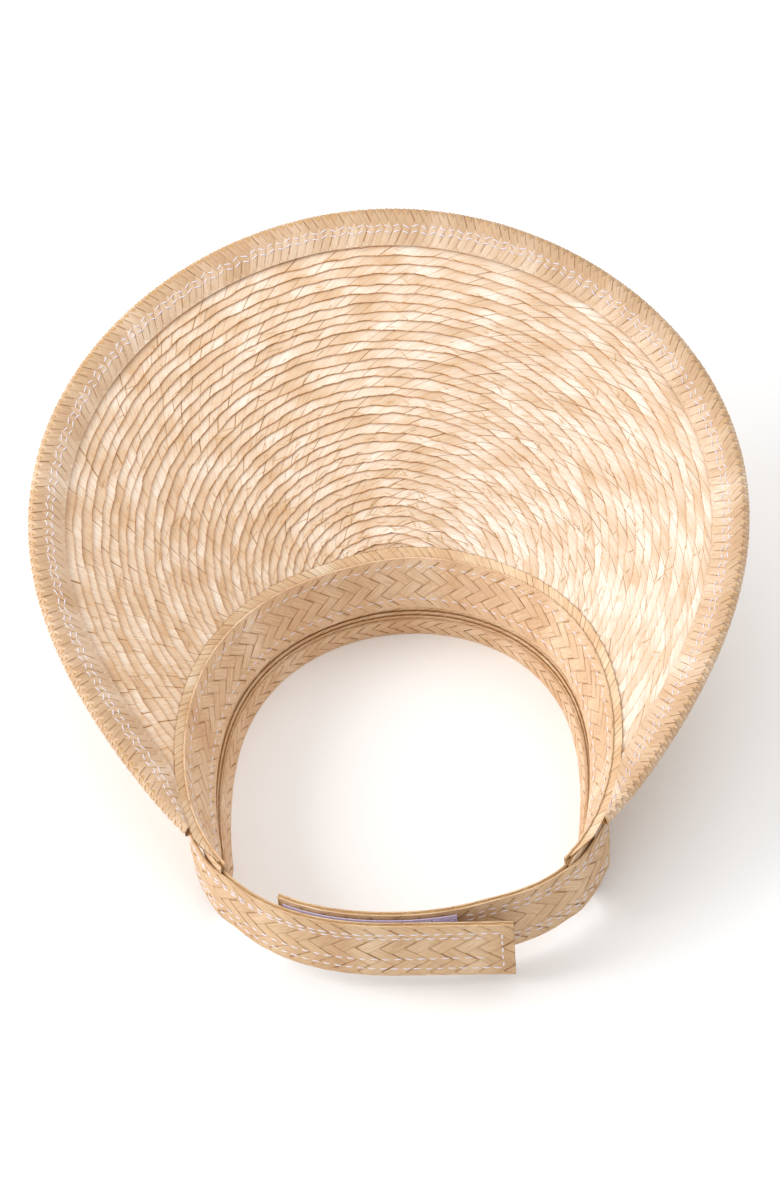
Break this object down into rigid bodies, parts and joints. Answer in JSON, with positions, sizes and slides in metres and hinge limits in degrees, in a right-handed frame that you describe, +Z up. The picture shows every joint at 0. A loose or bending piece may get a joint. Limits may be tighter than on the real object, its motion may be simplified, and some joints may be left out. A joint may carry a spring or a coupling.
{
  "type": "sun visor",
  "caption": "Wide-brimmed sun visor of sewn straw braid, with an open crown, a sweatband and a hook-and-loop strap at the back.",
  "frame": {"origin": "centre of the head opening, in the plane of the crown's free edge, which is the face the visor stands on", "axes": "+Z up from the resting face towards the brim, so the wearer's side of the brim looks up; +Y to the front of the brim; the strap closes at -Y; +X to the right when looking towards +Y"},
  "size_m": [0.2957, 0.2971, 0.1456],
  "materials": {
    "brim_straw": "natural palm straw braid, cream to tan, satin",
    "crown_straw": "natural palm straw braid, tan, satin",
    "binding_braid": "wide herringbone straw braid, satin",
    "crown_edge_straw": "plaited straw edge braid, satin",
    "sweatband_braid": "wide herringbone straw braid, smooth satin",
    "strap_braid": "wide herringbone straw braid, satin",
    "sewing_thread": "pale lilac-white sewing thread",
    "hook_tape": "pale nylon hook tape",
    "loop_tape": "pale brushed nylon loop tape"
  },
  "bodies": {
    "visor_body": {"brim_row_01": "brim_straw", "brim_row_02": "brim_straw", "brim_row_03": "brim_straw", "brim_row_04": "brim_straw", "brim_row_05": "brim_straw", "brim_row_06": "brim_straw", "brim_row_07": "brim_straw", "brim_row_08": "brim_straw", "brim_row_09": "brim_straw", "brim_row_10": "brim_straw", "brim_row_11": "brim_straw", "brim_row_12": "brim_straw", "brim_row_13": "brim_straw", "brim_row_14": "brim_straw", "brim_row_15": "brim_straw", "brim_row_16": "brim_straw", "brim_row_17": "brim_straw", "brim_row_18": "brim_straw", "brim_row_19": "brim_straw", "brim_row_20": "brim_straw", "brim_row_21": "brim_straw", "brim_row_22": "brim_straw", "brim_row_23": "brim_straw", "brim_row_24": "brim_straw", "brim_row_25": "brim_straw", "brim_row_26": "brim_straw", "brim_row_27": "brim_straw", "brim_row_28": "brim_straw", "brim_row_29": "brim_straw", "brim_row_30": "brim_straw", "brim_row_31": "brim_straw", "brim_row_32": "brim_straw", "brim_row_33": "brim_straw", "brim_row_34": "brim_straw", "brim_row_35": "brim_straw", "brim_row_36": "brim_straw", "rim_binding": "binding_braid", "crown_row_1": "crown_straw", "crown_row_2": "crown_straw", "crown_row_3": "crown_straw", "crown_row_4": "crown_straw", "crown_row_5": "crown_straw", "crown_row_6": "crown_straw", "crown_row_7": "crown_straw", "crown_row_8": "crown_straw", "crown_row_9": "crown_straw", "crown_edge_braid": "crown_edge_straw", "sweatband": "sweatband_braid", "visor_thread": "sewing_thread"},
    "left_strap": {"left_strap_outer": "strap_braid", "left_strap_lining": "strap_braid", "left_strap_thread": "sewing_thread"},
    "strap_tab": {"strap_tab_outer": "strap_braid", "strap_tab_lining": "strap_braid", "strap_tab_thread": "sewing_thread", "hook_tape": "hook_tape"},
    "right_strap": {"right_strap_outer": "strap_braid", "right_strap_lining": "strap_braid", "right_strap_thread": "sewing_thread", "loop_tape": "loop_tape"}
  },
  "joints": [
    {"name": "left_strap_swing", "type": "hinge", "parent": "visor_body", "child": "left_strap", "pos_m": [-0.06778, -0.05447, 0.0255], "axis": [0, 0, -1], "range_deg": [0, 60]},
    {"name": "tab_peel", "type": "hinge", "parent": "left_strap", "child": "strap_tab", "pos_m": [-0.04792, -0.07022, 0.0255], "axis": [0, 0, -1], "range_deg": [0, 100]},
    {"name": "right_strap_swing", "type": "hinge", "parent": "visor_body", "child": "right_strap", "pos_m": [0.06778, -0.05447, 0.0262], "axis": [0, 0, 1], "range_deg": [0, 10]}
  ],
  "couplings": [
    {"joint": "right_strap_swing", "follows": "left_strap_swing", "ratio": 0.15}
  ]
}
